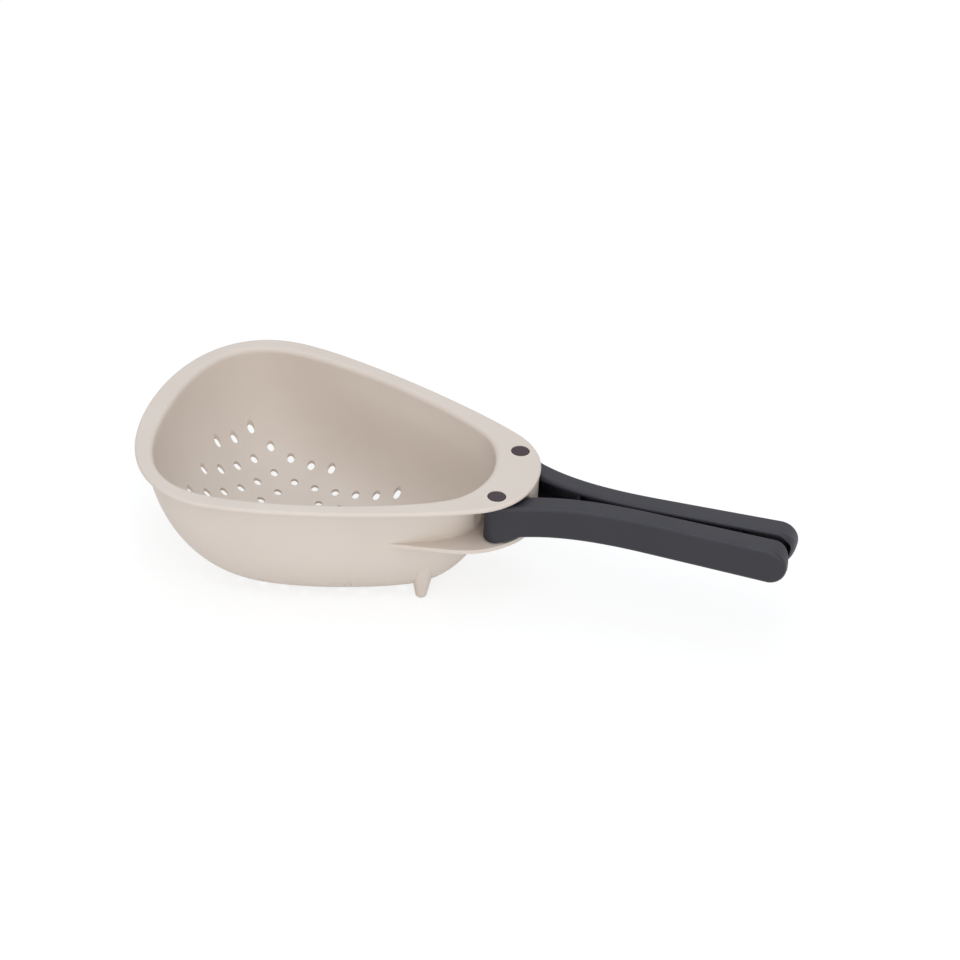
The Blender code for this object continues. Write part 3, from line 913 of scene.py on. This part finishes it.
sand = plastic("sand_plastic_fine", (0.640, 0.560, 0.498), (0.665, 0.585, 0.523),
               roughness=0.56, grain_size=0.00045, grain_height=0.000010)
charcoal = plastic("charcoal_plastic_fine", (0.0275, 0.0262, 0.0335), (0.0315, 0.0300, 0.0375),
                   roughness=0.44, grain_size=0.0004, grain_height=0.000012, specular=0.31)
pin_dark = plastic("pin_plastic_fine", (0.032, 0.018, 0.024), (0.037, 0.022, 0.028),
                   roughness=0.45, grain_size=0.0003, grain_height=0.000006)
nylon = plastic("nylon_fine", (0.74, 0.74, 0.71), (0.80, 0.80, 0.78),
                roughness=0.42, grain_size=0.0005, grain_height=0.000006)
steel = plastic("steel_fine", (0.50, 0.50, 0.51), (0.58, 0.58, 0.59), roughness=0.32,
                grain_size=0.0003, grain_height=0.000004, specular=0.5, metallic=1.0)

arm_middle = arm_line()
arm_marks = running_lengths(arm_middle)
arm_length = arm_marks[-1]

bowl = make_bowl()
smooth(bowl)
wear(bowl, sand, "colander", "bowl")
for hand, side in (("left", -1), ("right", 1)):
    handle = make_handle(side, hand)
    smooth(handle)
    wear(handle, charcoal, "handle_" + hand, "handle_" + hand)
    pin, washer, retainer = make_pins(side, hand)
    for piece, material, node, slot in ((pin, pin_dark, "pivot_pin_", "dark_pin_plastic"),
                                        (washer, nylon, "friction_washer_", "white_nylon"),
                                        (retainer, steel, "retaining_ring_", "spring_steel")):
        smooth(piece)
        wear(piece, material, "colander", node + hand)


def plain_sight(tree):
    """One for rays from the camera and from glossy surfaces, which see the studio as white."""
    path = tree.nodes.new("ShaderNodeLightPath")
    return calculate(tree, "MAXIMUM", path.outputs["Is Camera Ray"], path.outputs["Is Glossy Ray"])


def blend(tree, share, lit, plain, output):
    """Leads a mix of two shaders to a tree's output; the share is the plain one's."""
    mix = tree.nodes.new("ShaderNodeMixShader")
    for socket, target in zip((share, lit.outputs[0], plain.outputs[0]), mix.inputs):
        tree.links.new(socket, target)
    tree.links.new(mix.outputs[0], tree.nodes[output].inputs["Surface"])


# Floor: white to the camera, with only the object's faint shadow on it
floor_mesh = bpy.data.meshes.new("studio_floor")
floor_corners = [(x * floor_half_width, y * floor_half_width, floor_level)
                 for x, y in ((-1, -1), (1, -1), (1, 1), (-1, 1))]
floor_mesh.from_pydata(floor_corners, [], [(0, 1, 2, 3)])
floor = add_object("studio_floor", floor_mesh)
paper = bpy.data.materials.new("studio_paper")
paper.use_nodes = True
paper_tree = paper.node_tree
surface = paper_tree.nodes["Principled BSDF"]
set_sockets(surface, Base_Color=paper_colour, Roughness=paper_roughness, Specular_IOR_Level=0.0)
glow = add_node(paper_tree, "ShaderNodeEmission", Color=white, Strength=glow_strength)
glowing = calculate(paper_tree, "MULTIPLY", plain_sight(paper_tree), glow_share)
blend(paper_tree, glowing, surface, glow, "Material Output")
floor_mesh.materials.append(paper)

# World: even studio dome, plain white where the camera sees it
world = bpy.data.worlds.new("studio_dome")
bpy.context.scene.world = world
world.use_nodes = True
world_tree = world.node_tree
dome = world_tree.nodes["Background"]
set_sockets(dome, Color=white, Strength=dome_strength)
backdrop = add_node(world_tree, "ShaderNodeBackground", Color=white)
blend(world_tree, plain_sight(world_tree), dome, backdrop, "World Output")


def lamp(name, location, size, power, colour):
    """A round softbox aimed at the colander."""
    data = bpy.data.lights.new(name, "AREA")
    data.shape = "DISK"
    data.size = size
    data.energy = power
    data.color = colour
    made = add_object(name, data)
    made.location = location
    made.rotation_euler = (lamp_aim - Vector(location)).to_track_quat("-Z", "Y").to_euler()


lamp("key_softbox", (0.06, -0.92, 2.0), size=1.0, power=8.5, colour=(0.95, 0.98, 1.0))
lamp("top_softbox", (-0.1, 0.3, 2.2), size=1.6, power=9.6, colour=(0.64, 0.85, 1.0))
lamp("fill_softbox", (0.78, -1.80, 0.65), size=2.4, power=14.6, colour=(1.0, 0.995, 0.985))

camera_back = camera_right.cross(camera_up).normalized()
square_up = camera_back.cross(camera_right).normalized()
square_right = square_up.cross(camera_back).normalized()
camera_data = bpy.data.cameras.new("photo_camera")
camera_data.lens = camera_lens
camera_data.sensor_width = camera_sensor_width
camera_data.clip_start = camera_clip_start
camera_data.clip_end = camera_clip_end
camera = add_object("photo_camera", camera_data)
camera_turn = Matrix((square_right, square_up, camera_back)).transposed().to_4x4()
camera.matrix_world = Matrix.Translation(camera_place) @ camera_turn
bpy.context.scene.camera = camera
bpy.context.scene.view_settings.view_transform = "Standard"
